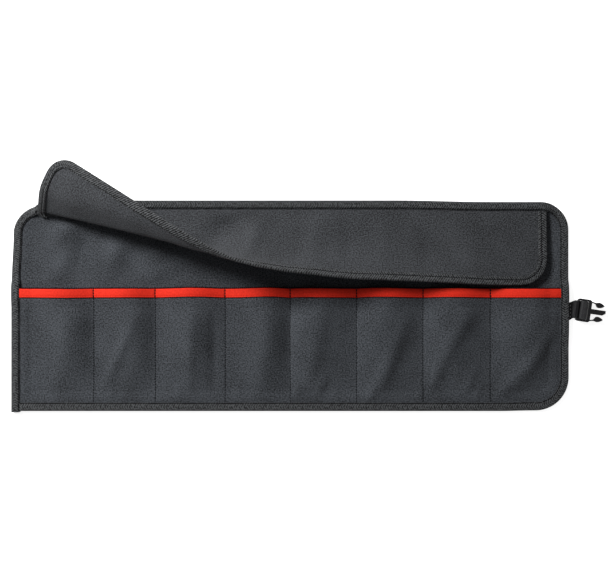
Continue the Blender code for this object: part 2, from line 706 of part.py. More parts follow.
def make_buckle(material):
    low = 2 * (STRAP_THICK + GAP) + GAP
    high = low + BUCKLE_THICK
    inner = STRAP_WIDTH / 2 + SLOT_CLEAR
    back = REAR_BAR
    front = REAR_BAR + SLOT_BACK + CENTRE_BAR
    body = prism("buckle", buckle_outline(), low, high, material)
    cutters = []
    for name, start, width in (("slot_cut_back", back, SLOT_BACK), ("slot_cut_front", front, SLOT_FRONT)):
        corners = [(start, -inner), (start + width, -inner), (start + width, inner), (start, inner)]
        cutters.append(("DIFFERENCE", prism(name, corners, low - 0.002, high + 0.002, material)))
    thin = BUCKLE_THICK * 0.16
    for name, side in (("arm_left", 1), ("arm_right", -1)):
        cutters.append(("UNION", prism(name, arm_outline(side), low + thin, high - thin, material)))
    place = swing(buckle_start(), STRAP_Y + SLOT_PLAY, 0)
    for piece in [body] + [cutter for _, cutter in cutters]:
        piece.location = place
        piece.rotation_euler = (0, 0, -math.radians(BUCKLE_TURN))
    for operation, cutter in cutters:
        cutter.hide_render = True
        cutter.display_type = "WIRE"
        step = body.modifiers.new(cutter.name, "BOOLEAN")
        step.operation = operation
        step.object = cutter
        step.solver = "EXACT"
    return body


def main():
    for piece in list(bpy.data.objects):
        bpy.data.objects.remove(piece)
    cloth = make_material("pouch_cloth", (0.046, 0.049, 0.054), 0.85)
    flap_cloth = make_material("flap_cloth", (0.038, 0.040, 0.044), 0.85)
    tape = make_material("binding_tape", (0.040, 0.042, 0.045), 0.80)
    red = make_material("red_tape", (0.74, 0.024, 0.010), 0.60)
    webbing = make_material("webbing", (0.012, 0.012, 0.013), 0.75)
    plastic = make_material("buckle_plastic", (0.010, 0.010, 0.011), 0.40)
    make_back_panel(cloth)
    make_pocket_panel(cloth)
    make_pocket_trim(red)
    make_edge_binding(tape)
    make_flap(flap_cloth)
    make_flap_binding(tape)
    make_strap(webbing)
    make_buckle(plastic)


main()
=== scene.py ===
"""Looks of the tool pouch: its cloth, tape, stitches, webbing and buckle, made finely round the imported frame.

+X runs along the pouch towards the strap, +Y towards the flap's hinge and +Z up, in metres, as in the frame.
"""
import math

import bmesh
import bpy
import numpy as np
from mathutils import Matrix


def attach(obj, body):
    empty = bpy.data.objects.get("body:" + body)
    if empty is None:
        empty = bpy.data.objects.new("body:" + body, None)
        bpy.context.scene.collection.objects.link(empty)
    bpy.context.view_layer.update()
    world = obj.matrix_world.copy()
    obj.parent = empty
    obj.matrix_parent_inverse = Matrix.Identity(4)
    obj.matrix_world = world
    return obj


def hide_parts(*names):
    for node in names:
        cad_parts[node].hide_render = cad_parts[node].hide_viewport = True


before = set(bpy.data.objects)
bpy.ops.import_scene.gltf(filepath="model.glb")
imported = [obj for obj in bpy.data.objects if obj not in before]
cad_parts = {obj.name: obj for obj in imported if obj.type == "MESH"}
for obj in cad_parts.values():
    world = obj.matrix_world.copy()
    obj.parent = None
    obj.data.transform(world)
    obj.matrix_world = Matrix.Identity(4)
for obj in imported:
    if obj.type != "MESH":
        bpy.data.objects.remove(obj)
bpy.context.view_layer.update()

# The panel and the tape that binds its edge
PANEL_LENGTH = 0.642
PANEL_DEPTH = 0.242
PANEL_THICK = 0.0015
TAPE = 0.0010
BINDING_WIDTH = 0.0100
CORNER_TOP_LEFT = 0.033
CORNER_TOP_RIGHT = 0.0325
CORNER_BOTTOM_RIGHT = 0.0385
GAP = 0.0003
EDGE_RAMP = 0.014
TAPE_OVERHANG = 0.0012
RELIEF_RAMP = 0.015

# The strip of pockets and the red tape along its mouth
MOUTH_CLEAR = 0.0035
STRIP_THICK = 0.0012
TRIM_TAPE = 0.0010
TRIM_WIDTH = 0.0104
TRIM_RAMP = 0.012
POCKET_SWELL = 0.0110
MOUTH_WAVE = 0.0012

# The pockets' swell and lean at the mouth, as shares of those below it, and the depth over which they grow
MOUTH_SWELL = 0.72
MOUTH_LEAN = 0.15
MOUTH_RAMP = 0.030

# Where the folds fade out: beside the sewn lines, as a share of a pocket's width, and above the bottom seam
FOLD_SIDE_RAMP = 0.20
FOLD_SEAM_RAMP = 0.020
PUCKER_RAMP = 0.004

# The flap, sewn into the binding along the top edge
FLAP_LENGTH = 0.586
FLAP_START = 0.030
FLAP_DEPTH = 0.0880
FLAP_THICK = 0.0012
FLAP_TAPE = 0.0010
FLAP_TAPE_WIDTH = 0.0098
FLAP_CORNER = 0.025
FLAP_CORNER_RIGHT = 0.031
LIFT_LEFT = 24.0
LIFT_RIGHT = 2.0
STACK_RAMP = 0.012
FLAP_SEAM = 0.0070
FLAP_EASE = 0.0005
FLAP_FOLD_RAMP = 0.018

# How far the flap's free edge is drawn in. Each pair is a place, and the run after it over which that grows
# or, at the right end, fades
FLAP_DRAW = 0.0032
DRAW_FROM_HINGE = (0.030, 0.055)
DRAW_LEFT_END = (0.19, 0.14)
DRAW_RIGHT_END = (0.40, 0.14)

# The strap and the buckle on its end
STRAP_WIDTH = 0.020
STRAP_THICK = 0.0016
STRAP_EXTRA = 0.0003
STRAP_ROUND = 0.0005
STRAP_DROP = 0.1283
STRAP_TAIL = 0.026
STRAP_LIFT_RAMP = 0.030
STRAP_FREE = 0.0080
BUCKLE_TURN = 8.5
BUCKLE_SHIFT = 0.0040
BUCKLE_THICK = 0.0036
BUCKLE_ROUND = 0.0006
REAR_BAR = 0.0018
SLOT_BACK = 0.0044
CENTRE_BAR = 0.0040
SLOT_SNUG = 0.0003

# Each pocket: its share of the strip's length, its share of the swell, its mouth's rise or dip, and its lean:
# above 1 the swell's crest lies towards the right, below 1 towards the left
POCKETS = (
    {"width": 0.1367, "swell": 0.90, "wave": -0.2, "lean": 1.7},
    {"width": 0.1140, "swell": 0.95, "wave": 0.2, "lean": 1.5},
    {"width": 0.1293, "swell": 1.00, "wave": 0.9, "lean": 1.2},
    {"width": 0.1205, "swell": 1.00, "wave": 1.0, "lean": 1.6},
    {"width": 0.1227, "swell": 0.95, "wave": 0.5, "lean": 0.6},
    {"width": 0.1229, "swell": 1.00, "wave": 0.8, "lean": 0.7},
    {"width": 0.1245, "swell": 0.95, "wave": 0.6, "lean": 0.8},
    {"width": 0.1294, "swell": 0.90, "wave": 0.1, "lean": 1.0},
)

# Each bend of the turned-up flap, as in the frame
BENDS = (
    {"start": 0.000, "slope": 0.043, "width": 0.052, "widening": 0.342, "turn": 64.5},
    {"start": 0.031, "slope": 0.315, "width": 0.060, "widening": 0.074, "turn": 45.0},
    {"start": 0.297, "slope": 0.260, "width": 0.394, "widening": 0.006, "turn": 47.0},
)
BEND_FADE_START = 0.78
BEND_FADE_END = 0.98
BEND_STEPS = 90
BEND_LEAST = 0.001

# How the slack cloth leaves the straight outline: its move in X and Y, and where on each axis that begins and
# over what run it grows, below 0 towards the left or the bottom. A low move fades out above LOW_END
SLACK = (
    {"move": (0.0, -0.0018), "x": (0.12, 0.11), "y": (0.02, 0.08)},
    {"move": (0.0, -0.0007), "x": (0.28, -0.04), "y": (-0.08, -0.03)},
    {"move": (0.0024, 0.0), "x": (-0.24, -0.06), "y": (0.02, 0.07)},
    {"move": (0.0, -0.0062), "x": (-0.20, -0.08), "y": (0.04, 0.07), "low": True},
)
LOW_END = 0.0056
LOW_RUN = 0.0030

# Stitches: pitch and gap along the row, thickness of the thread, and how far it stands out of the row's line
STITCH = 0.0030
STITCH_GAP = 0.0005
THREAD = 0.00062
STITCH_LIFT = 0.6

# How far each row lies in from its tape's edge, and how high in the tape, as a share of it
ROW_IN = 0.0010
SECOND_ROW_IN = 0.0046
TRIM_ROW_IN = 0.0016
FLAP_ROW_IN = 0.0036
FLAP_ROW_UNDER = 0.0014
ROW_HEIGHT = {"edge": 0.90, "edge_under": 0.55, "flap": 0.95, "cross": 0.80, "mouth": 0.85, "fold": 0.60}

# Each tape's shape: the depth of its round fold, and its crown and its stitches' groove as shares of the tape
EDGE_TAPE_SHAPE = {"fold": 0.0016, "crown": 0.25, "groove": 0.60}
TRIM_TAPE_SHAPE = {"fold": 0.0014, "crown": 0.15, "groove": 0.30}
FLAP_TAPE_SHAPE = {"fold": 0.0014, "crown": 0.15, "groove": 0.60}
GROOVE_WIDTH = 0.0007

# How fine the meshes are
PANEL_COLUMN = 0.0022
PANEL_ROWS = 110
POCKET_COLUMNS = 40
POCKET_ROWS = 96
FLAP_COLUMNS = 250
FLAP_ROWS = 56
CORNER_COLUMNS = 17
STITCH_RINGS = 6
STITCH_SIDES = 6
SHARP_ANGLE = 40
TINY = 1e-9

# The stage: a pale floor, a soft light from the upper left and a camera straight above
FLOOR_HALF = 6.0
FLOOR_DROP = 0.0002
FLOOR_GLOW = 0.80
ROOM_GLOW = 0.22
LIGHT_PLACE = (-1.30, 1.05, 1.18)
LIGHT_SIZE = 0.6
LIGHT_POWER = 63.0
CAMERA_PLACE = (0.0162, 0.0247, 0.98175)
CAMERA_LENS = 50.3
WHITE = (1.0, 1.0, 1.0, 1.0)

# What follows from the sizes above
LEFT = -PANEL_LENGTH / 2
RIGHT = PANEL_LENGTH / 2
TOP = PANEL_DEPTH / 2
BOTTOM = -PANEL_DEPTH / 2
EDGE_IN = TAPE + GAP
STRIP_LEFT = LEFT + BINDING_WIDTH
STRIP_RIGHT = RIGHT - BINDING_WIDTH
STRIP_BOTTOM = BOTTOM + BINDING_WIDTH
HINGE_Y = TOP - BINDING_WIDTH
MOUTH_Y = HINGE_Y - FLAP_DEPTH - MOUTH_CLEAR
FLAP_X = LEFT + FLAP_START
FLAP_ROOT_Z = TAPE + PANEL_THICK + FLAP_TAPE + 2 * GAP + FLAP_EASE + FLAP_THICK / 2
STRAP_Y = TOP - STRAP_DROP

# Soft folds in the pockets' fronts: place, direction in degrees, half length, half width and rise, in metres
POCKET_FOLDS = (
    (-0.262, -0.070, 80, 0.050, 0.010, 0.0012),
    (-0.198, -0.060, 65, 0.040, 0.007, 0.0030),
    (-0.114, -0.050, 88, 0.070, 0.009, 0.0026),
    (-0.086, -0.050, 90, 0.070, 0.008, -0.0022),
    (-0.030, -0.050, 86, 0.060, 0.010, 0.0016),
    (0.028, -0.060, 80, 0.060, 0.010, 0.0020),
    (0.034, -0.098, 70, 0.020, 0.006, 0.0022),
    (0.112, -0.070, 68, 0.050, 0.009, 0.0034),
    (0.192, -0.030, 60, 0.044, 0.010, 0.0034),
    (0.165, -0.085, 66, 0.030, 0.008, 0.0022),
    (0.205, -0.095, 72, 0.024, 0.007, 0.0018),
    (0.276, -0.066, 55, 0.046, 0.009, 0.0036),
    (0.246, -0.097, 60, 0.024, 0.007, 0.0024),
)

# Small puckers that the bottom seam makes in the pockets' fronts
SEAM_PUCKERS = (
    (-0.206, -0.100, 82, 0.010, 0.0035, 0.0010),
    (-0.128, -0.100, 96, 0.011, 0.0040, 0.0011),
    (-0.060, -0.100, 84, 0.010, 0.0035, 0.0009),
    (0.008, -0.100, 78, 0.010, 0.0040, 0.0011),
    (0.052, -0.100, 98, 0.009, 0.0035, 0.0009),
    (0.094, -0.100, 74, 0.012, 0.0040, 0.0012),
    (0.150, -0.100, 80, 0.010, 0.0040, 0.0011),
    (0.216, -0.100, 72, 0.012, 0.0040, 0.0012),
)

# Soft waves in the bare part of the panel, given the same way
PANEL_FOLDS = (
    (-0.200, 0.062, 72, 0.026, 0.013, 0.0042),
    (-0.262, 0.048, 62, 0.034, 0.012, 0.0020),
    (-0.146, 0.042, 30, 0.030, 0.012, 0.0028),
    (-0.238, 0.066, 76, 0.018, 0.009, -0.0016),
    (-0.258, 0.089, 45, 0.020, 0.015, 0.0050),
    (-0.152, 0.062, 42, 0.022, 0.012, 0.0040),
)

# Soft waves in the flap, at its distance along the hinge and away from it
FLAP_FOLDS = (
    (0.212, 0.028, -48, 0.036, 0.017, -0.0068),
    (0.250, 0.036, 104, 0.036, 0.010, 0.0028),
    (0.282, 0.045, 84, 0.036, 0.010, -0.0014),
    (0.318, 0.045, 92, 0.036, 0.010, 0.0014),
    (0.358, 0.045, 86, 0.038, 0.011, -0.0012),
    (0.396, 0.045, 92, 0.036, 0.011, 0.0014),
    (0.446, 0.048, 90, 0.036, 0.012, -0.0008),
    (0.500, 0.048, 88, 0.032, 0.013, 0.0008),
    (0.370, 0.092, 0, 0.120, 0.030, -0.0050),
)


def smooth(x):
    """0 below 0, 1 above 1 and an even S between them."""
    x = np.clip(x, 0.0, 1.0)
    return x * x * (3.0 - 2.0 * x)


def ease(value, start, run):
    """0 up to the start, 1 past the run after it and an even S between; a run below 0 goes backwards."""
    return smooth((value - start) / run)


def folds(x, y, table):
    """Height that a table of soft folds adds at each point."""
    height = np.zeros(np.broadcast(x, y).shape)
    for fx, fy, turn, length, width, rise in table:
        cos = math.cos(math.radians(turn))
        sin = math.sin(math.radians(turn))
        along = (x - fx) * cos + (y - fy) * sin
        across = (y - fy) * cos - (x - fx) * sin
        height = height + rise * np.exp(-(along / length) ** 2 - (across / width) ** 2)
    return height


def corner_radius(x, y):
    """The corner radius that holds in the quarter of the panel where the point lies."""
    right = np.where(y > 0, CORNER_TOP_RIGHT, CORNER_BOTTOM_RIGHT)
    left = np.where(y > 0, CORNER_TOP_LEFT, 0.0)
    return np.where(x > 0, right, left)


def edge_distance(x, y):
    """How far a point lies inside the panel's outer edge."""
    radius = corner_radius(x, y)
    dx = np.abs(x) - (PANEL_LENGTH / 2 - radius)
    dy = np.abs(y) - (PANEL_DEPTH / 2 - radius)
    outside = np.hypot(np.maximum(dx, 0), np.maximum(dy, 0))
    inside = np.minimum(np.maximum(dx, dy), 0)
    return radius - outside - inside


def edge_share(x, y):
    """1 in the binding, 0 where the panel lies flat and an even slope between."""
    return 1 - ease(edge_distance(x, y), BINDING_WIDTH, EDGE_RAMP)


def strap_share(x, y):
    """1 over the strap's sewn tail, 0 well clear of it and an even slope between."""
    along = ease(x, RIGHT - STRAP_TAIL - STRAP_LIFT_RAMP, STRAP_LIFT_RAMP - 2 * GAP)
    aside = ease(np.abs(y - STRAP_Y), STRAP_WIDTH / 2 + 4 * GAP, STRAP_LIFT_RAMP)
    return along * (1 - aside)


def panel_relief(x, y):
    """Soft waves of the bare part of the panel, which end before the binding and the pockets."""
    free = (1 - edge_share(x, y)) * ease(y, MOUTH_Y, RELIEF_RAMP)
    return np.maximum(folds(x, y, PANEL_FOLDS) * free, -0.5 * PANEL_THICK)


def panel_under(x, y):
    """Underside of the panel: flat, lifted at its bound edge and over the strap's sewn tail."""
    return EDGE_IN * edge_share(x, y) + (STRAP_THICK + GAP) * strap_share(x, y)


def panel_top(x, y):
    """Upper side of the panel, without its soft waves."""
    return panel_under(x, y) + PANEL_THICK


def pocket_edges():
    """X of the sewn lines between the pockets, with the strip's two ends."""
    total = sum(pocket["width"] for pocket in POCKETS)
    edges = [STRIP_LEFT]
    for pocket in POCKETS:
        edges.append(edges[-1] + (STRIP_RIGHT - STRIP_LEFT) * pocket["width"] / total)
    return np.array(edges)


def pocket_share(x):
    """Which pocket a point is in, and how far across it."""
    edges = pocket_edges()
    index = np.clip(np.searchsorted(edges, x, side="right") - 1, 0, len(POCKETS) - 1)
    share = np.clip((x - edges[index]) / (edges[index + 1] - edges[index]), 0, 1)
    return index, share


def pocket_shape(x, key, leaning=1.0):
    """A pocket's value from the table, strongest at its middle and nothing at its sewn lines."""
    index, share = pocket_share(x)
    values = np.array([pocket[key] for pocket in POCKETS])[index]
    lean = 1 + (np.array([pocket["lean"] for pocket in POCKETS])[index] - 1) * leaning
    return values * np.sin(math.pi * share ** lean) ** 1.4


def mouth_line(x):
    """Y of the pockets' upper edge, with its gentle wave."""
    return MOUTH_Y + MOUTH_WAVE * pocket_shape(x, "wave")


def pocket_height(x, y):
    """How far the pocket strip stands off the panel by its swell, folds and puckers."""
    depth = np.clip((MOUTH_Y - y) / (MOUTH_Y - STRIP_BOTTOM), 0, 1)
    below = ease(y, MOUTH_Y - TRIM_WIDTH, -MOUTH_RAMP)
    leaning = MOUTH_LEAN + (1 - MOUTH_LEAN) * below
    swell = POCKET_SWELL * pocket_shape(x, "swell", leaning) * (1 - depth ** 2)
    swell = swell * (MOUTH_SWELL + (1 - MOUTH_SWELL) * below)
    _, share = pocket_share(x)
    free = ease(np.minimum(share, 1 - share), 0, FOLD_SIDE_RAMP) * ease(y, STRIP_BOTTOM, FOLD_SEAM_RAMP)
    free = free * below
    pucker = folds(x, y, SEAM_PUCKERS) * ease(y, STRIP_BOTTOM, PUCKER_RAMP)
    return np.maximum(swell + folds(x, y, POCKET_FOLDS) * free, 0) + pucker


def strip_under(x, y):
    """Underside of the pocket strip: clear of the panel, and with room for the mouth tape's lower leg."""
    room = ease(y, MOUTH_Y - TRIM_WIDTH - GAP - TRIM_RAMP, TRIM_RAMP)
    edge = edge_share(x, y)
    strap = strap_share(x, y)
    loose = 6 * GAP * (edge * (1 - edge) + strap * (1 - strap))
    return panel_top(x, y) + GAP + loose + pocket_height(x, y) + room * (TRIM_TAPE + GAP)


def strip_top(x, y):
    """Upper side of the pocket strip."""
    return strip_under(x, y) + STRIP_THICK


def outline_y(x, inset, side):
    """Y of the panel's upper (side 1) or lower (side -1) edge at X, moved in by the inset."""
    radius = corner_radius(x, np.full_like(x, side * PANEL_DEPTH / 4))
    reach = np.maximum(np.abs(x) - (PANEL_LENGTH / 2 - radius), 0)
    drop = (radius - inset) - np.sqrt(np.maximum((radius - inset) ** 2 - reach ** 2, 0))
    return side * (PANEL_DEPTH / 2 - inset - np.where(radius > inset, drop, 0))


def end_columns(inset):
    """X of the extra columns that follow the round corners at both ends."""
    angles = np.linspace(0, math.pi / 2, CORNER_COLUMNS)
    columns = []
    for radius, side in ((CORNER_TOP_LEFT, -1), (CORNER_TOP_RIGHT, 1), (CORNER_BOTTOM_RIGHT, 1)):
        columns += list(side * (PANEL_LENGTH / 2 - radius + (radius - inset) * np.cos(angles)))
    return columns


def thin_out(values, least):
    """Sorted values with neighbours closer than the least distance dropped."""
    kept = []
    for value in sorted(values):
        if not kept or value - kept[-1] >= least:
            kept.append(value)
    return np.array(kept)


def stack_over_panel(x, y):
    """Height of what the binding holds on top of the panel: the pocket strip below, the flap above."""
    past_mouth = ease(y, MOUTH_Y + MOUTH_WAVE, STACK_RAMP)
    low = np.minimum(y, MOUTH_Y)
    strip = (strip_top(x, low) - panel_top(x, low)) * (1 - past_mouth)
    off_flap = np.maximum(FLAP_X - GAP - x, x - (FLAP_X + FLAP_LENGTH + GAP))
    on_flap = (1 - ease(off_flap, 0, STACK_RAMP)) * ease(y, HINGE_Y - STACK_RAMP, STACK_RAMP)
    root = FLAP_ROOT_Z + FLAP_THICK / 2 + FLAP_EASE - GAP - (TAPE + GAP + PANEL_THICK)
    return np.maximum(strip, root * on_flap)


def turn_about(vectors, axis, angle):
    """Turn an array of vectors about an array of unit axes."""
    cos = np.cos(angle)[:, None]
    sin = np.sin(angle)[:, None]
    along = (axis * vectors).sum(axis=1, keepdims=True)
    return vectors * cos + np.cross(axis, vectors) * sin + axis * along * (1 - cos)


def bend_spin(u, near, far, along, out):
    """The bends' turn of the flap between two distances from the hinge, as an axis times its angle."""
    fade = 1 - ease(u / FLAP_LENGTH, BEND_FADE_START, BEND_FADE_END - BEND_FADE_START)
    spin = np.zeros_like(out)
    for bend in BENDS:
        width = np.maximum(bend["width"] * FLAP_DEPTH + bend["widening"] * u, BEND_LEAST)
        first = bend["start"] * FLAP_DEPTH + bend["slope"] * u
        before = np.clip((near - first) / width, 0, 1)
        after = np.clip((far - first) / width, 0, 1)
        turn = math.radians(bend["turn"]) * fade * (smooth(after) - smooth(before))
        slope = bend["slope"] + bend["widening"] * (before + after) / 2
        spin -= (turn / np.hypot(1, slope))[:, None] * (along + slope[:, None] * out)
    return spin


def flap_surface(u, v):
    """Middle of the flap's cloth and its outward direction, at u along the hinge and v away from it."""
    u = np.asarray(u, dtype=float).ravel()
    v = np.asarray(v, dtype=float).ravel()
    lift = np.radians(LIFT_LEFT + (LIFT_RIGHT - LIFT_LEFT) * np.clip(u / FLAP_LENGTH, 0, 1))
    zero = np.zeros_like(u)
    point = np.stack([FLAP_X + u, HINGE_Y + zero, FLAP_ROOT_Z + zero], axis=1)
    along = np.stack([zero + 1, zero, zero], axis=1)
    out = np.stack([zero, -np.cos(lift), np.sin(lift)], axis=1)
    normal = np.stack([zero, np.sin(lift), np.cos(lift)], axis=1)
    step = np.maximum(v, 0) / BEND_STEPS
    for k in range(BEND_STEPS):
        spin = bend_spin(u, k * step, (k + 1) * step, along, out)
        angle = np.linalg.norm(spin, axis=1)
        axis = spin / np.maximum(angle, TINY)[:, None]
        turned = turn_about(out, axis, angle)
        point = point + (out + turned) / 2 * step[:, None]
        along = turn_about(along, axis, angle)
        normal = turn_about(normal, axis, angle)
        out = turned
    behind = v < 0
    point[behind, 1] -= v[behind]
    normal[behind] = (0, 0, 1)
    point = point + normal * (folds(u, v, FLAP_FOLDS) * ease(v, 0, FLAP_FOLD_RAMP))[:, None]
    drawn = ease(v, *DRAW_FROM_HINGE) * ease(u, *DRAW_LEFT_END) * (1 - ease(u, *DRAW_RIGHT_END))
    point[:, 1] += FLAP_DRAW * drawn
    return point, normal


def flap_reach(u, inset):
    """Distance from the hinge to the flap's free edge, moved in by the inset, with its round corners."""
    corner = np.where(u > FLAP_LENGTH / 2, FLAP_CORNER_RIGHT, FLAP_CORNER)
    to_corner = np.maximum(np.maximum(corner - u, u - (FLAP_LENGTH - corner)), 0)
    radius = corner - inset
    return FLAP_DEPTH - corner + np.sqrt(np.maximum(radius ** 2 - to_corner ** 2, 0))


def slacken(points):
    """Let the straight edges sag and lean as the table of slack says."""
    points = np.array(points, dtype=float).reshape(-1, 3)
    x, y, z = points.T.copy()
    low = 1 - ease(z, LOW_END, LOW_RUN)
    for part in SLACK:
        share = ease(x, *part["x"]) * ease(y, *part["y"])
        if "low" in part:
            share = share * low
        points[:, :2] += np.outer(share, part["move"])
    return points


def place_in_cloth(along, across):
    """The place that the finishes read: metres along the cloth and across it."""
    along, across = np.broadcast_arrays(along, across)
    return np.stack([along, across, np.zeros_like(along)], axis=-1)


def add_object(name, data):
    """A new object in the scene for the data."""
    added = bpy.data.objects.new(name, data)
    bpy.context.scene.collection.objects.link(added)
    return added


def finish_mesh(name, points, faces, lay, material):
    """A smooth mesh object with outward faces and its place in the cloth kept as an attribute."""
    mesh = bpy.data.meshes.new(name)
    mesh.from_pydata(slacken(points).tolist(), [], faces)
    where = mesh.attributes.new("lay", "FLOAT_VECTOR", "POINT")
    where.data.foreach_set("vector", np.asarray(lay, dtype=np.float32).ravel())
    bm = bmesh.new()
    bm.from_mesh(mesh)
    bmesh.ops.recalc_face_normals(bm, faces=bm.faces)
    bm.to_mesh(mesh)
    bm.free()
    mesh.materials.append(material)
    mesh.shade_smooth()
    mesh.set_sharp_from_angle(angle=math.radians(SHARP_ANGLE))
    piece = add_object(name, mesh)
    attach(piece, "root")
    return piece


def grid_faces(columns, rows, start=0):
    """Faces of a grid of points that are numbered column by column."""
    i, j = np.meshgrid(np.arange(columns - 1), np.arange(rows - 1), indexing="ij")
    first = (start + i * rows + j).ravel()
    return np.stack([first, first + rows, first + rows + 1, first + 1], axis=1).tolist()


def thin_sheet(name, upper, lower, lay, material):
    """Close two matching grids of points, one over the other, into one thin sheet."""
    columns, rows = upper.shape[:2]
    count = columns * rows
    faces = grid_faces(columns, rows) + grid_faces(columns, rows, count)
    rim = [i * rows for i in range(columns)] + [(columns - 1) * rows + j for j in range(1, rows)]
    rim += [i * rows + rows - 1 for i in range(columns - 2, -1, -1)] + list(range(rows - 2, 0, -1))
    for a, b in zip(rim, rim[1:] + rim[:1]):
        faces.append((a, b, b + count, a + count))
    under = lay.copy()
    under[..., 2] = 1
    return finish_mesh(name, np.stack([upper, lower]), faces, np.stack([lay, under]), material)


def tube_faces(rings, sides, start=0):
    """Faces of a tube of equal closed rings with flat ends."""
    faces = []
    for i in range(rings - 1):
        low = start + i * sides
        for k in range(sides):
            m = (k + 1) % sides
            faces.append((low + k, low + m, low + sides + m, low + sides + k))
    last = start + (rings - 1) * sides
    faces.append(tuple(range(start, start + sides)))
    faces.append(tuple(range(last, last + sides)))
    return faces


def tube(name, sections, lay, material):
    """Join a row of equal closed sections into one solid with flat ends."""
    return finish_mesh(name, sections, tube_faces(*sections.shape[:2]), lay, material)


def path_length(points):
    """Distance along a row of points."""
    steps = np.linalg.norm(np.diff(points, axis=0), axis=1)
    return np.concatenate([[0.0], np.cumsum(steps)])


def along_row(values, length, places):
    """Values of a row's points, read at the given distances along it."""
    return np.stack([np.interp(places, length, values[:, k]) for k in range(3)], axis=1)


def row_frame(points, normals, length, places):
    """Centre of a row at the given distances, and the directions out of the cloth and across the row."""
    look = 2e-4
    tangent = along_row(points, length, places + look) - along_row(points, length, places - look)
    tangent /= np.maximum(np.linalg.norm(tangent, axis=1), TINY)[:, None]
    normal = along_row(normals, length, places)
    normal -= tangent * (normal * tangent).sum(axis=1, keepdims=True)
    normal /= np.linalg.norm(normal, axis=1)[:, None]
    return along_row(points, length, places), normal, np.cross(tangent, normal)


def stitch_rows(name, rows, material, pitch=STITCH, gap=STITCH_GAP, thread=THREAD):
    """Stitches along rows, each given as points and the direction that faces out of the cloth."""
    share = np.linspace(0, 1, STITCH_RINGS)
    bulge = np.sin(math.pi * np.clip(share * 0.96 + 0.02, 0, 1))
    angles = np.linspace(0, 2 * math.pi, STITCH_SIDES, endpoint=False)
    stitches = []
    lays = []
    for points, normals in rows:
        length = path_length(points)
        count = max(int(length[-1] / pitch), 1)
        real = length[-1] / count
        starts = np.arange(count) * real + gap / 2
        places = (starts[:, None] + share[None, :] * (real - gap)).ravel()
        centre, normal, side = row_frame(points, normals, length, places)
        size = np.tile(0.35 + 0.65 * bulge ** 0.5, count) * thread
        height = np.tile(bulge ** 0.7, count) * thread * STITCH_LIFT - thread * 0.5
        centre = centre + normal * height[:, None]
        around = normal[:, None, :] * np.cos(angles)[None, :, None] * 0.8
        around = around + side[:, None, :] * np.sin(angles)[None, :, None]
        solid = centre[:, None, :] + around * size[:, None, None]
        stitches.append(solid.reshape(count, STITCH_RINGS, STITCH_SIDES, 3))
        lays.append(place_in_cloth(places.reshape(count, STITCH_RINGS, 1), angles * thread))
    points = np.concatenate(stitches)
    faces = []
    for n in range(len(points)):
        faces += tube_faces(STITCH_RINGS, STITCH_SIDES, n * STITCH_RINGS * STITCH_SIDES)
    return finish_mesh(name, points, faces, np.concatenate(lays), material)


def shade(colour, share):
    """The colour made darker or lighter by a share."""
    return tuple(part * share for part in colour)


